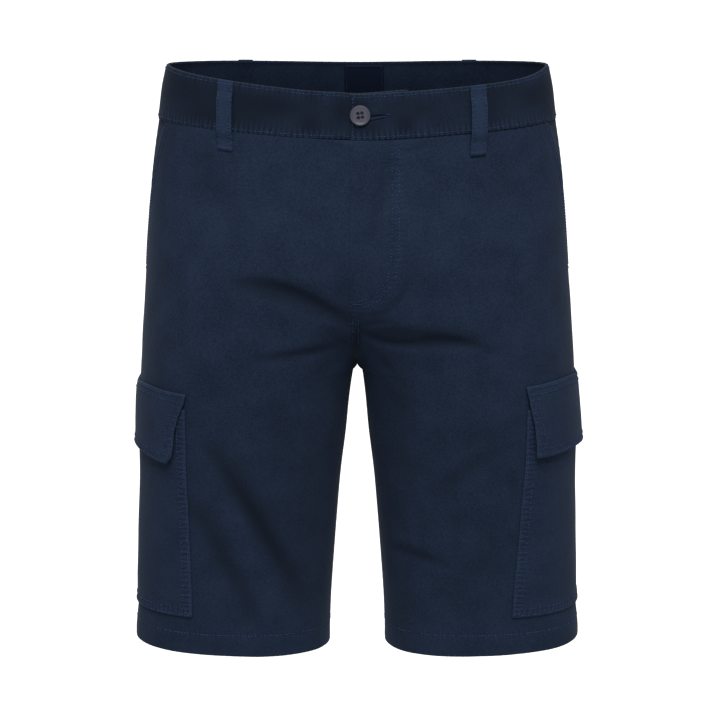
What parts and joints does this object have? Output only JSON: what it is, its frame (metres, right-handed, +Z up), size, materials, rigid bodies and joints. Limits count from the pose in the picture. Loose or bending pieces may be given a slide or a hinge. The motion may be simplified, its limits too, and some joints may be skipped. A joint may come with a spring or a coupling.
{
  "type": "cargo shorts",
  "caption": "Knee-length cargo shorts in cotton twill, filled out as worn and hollow, with waistband, button fly, belt loops and flapped patch pockets on the legs.",
  "frame": {"origin": "middle of the waist opening, level with the waistband's top edge at the sides", "axes": "+Z up along the body, -Y towards the wearer's front, +X towards the wearer's left"},
  "size_m": [0.4226, 0.2531, 0.545],
  "materials": {
    "twill": "garment-dyed navy cotton twill",
    "button": "polished dark grey resin",
    "label": "plain woven navy tape, blank"
  },
  "bodies": {
    "root": {"waistband": "twill", "front_left": "twill", "back_left": "twill", "side_pocket_facing_left": "twill", "cargo_pocket_left": "twill", "cargo_flap_left": "twill", "front_right": "twill", "back_right": "twill", "side_pocket_facing_right": "twill", "cargo_pocket_right": "twill", "cargo_flap_right": "twill", "belt_loop_front_right": "twill", "belt_loop_front_left": "twill", "belt_loop_back_right": "twill", "belt_loop_back_left": "twill", "button": "button", "label": "label"}
  },
  "joints": []
}
